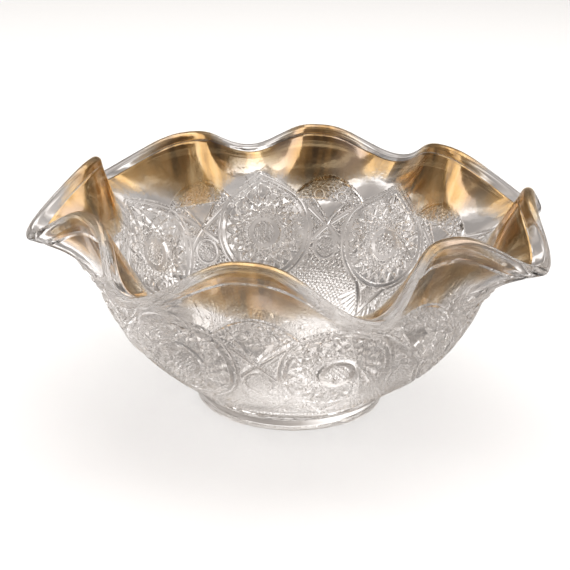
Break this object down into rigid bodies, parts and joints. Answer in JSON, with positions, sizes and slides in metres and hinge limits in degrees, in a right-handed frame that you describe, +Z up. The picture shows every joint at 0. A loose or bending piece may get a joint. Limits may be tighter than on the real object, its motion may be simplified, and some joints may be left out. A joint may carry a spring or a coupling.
{
  "type": "crimped glass bowl",
  "caption": "Round pressed glass bowl with a crimped, ruffled rim, a low collar foot and a gold lustre band inside the lip.",
  "frame": {"origin": "centre of the foot's resting ring, on the surface that the bowl stands on", "axes": "+Z up along the bowl's axis; -Y towards the viewer, facing one of the ruffle's crests"},
  "size_m": [0.2148, 0.217, 0.0979],
  "materials": {
    "clear_glass": "clear pressed glass, fire-polished",
    "gold_lustre": "fired amber-gold lustre, glossy and iridescent",
    "gold_edge": "fired gold edge, glossy, worn thin in places"
  },
  "bodies": {
    "root": {"pressed_glass_bowl": "clear_glass", "inner_lustre_band": "gold_lustre", "lip_edge_gilding": "gold_edge"}
  },
  "joints": []
}
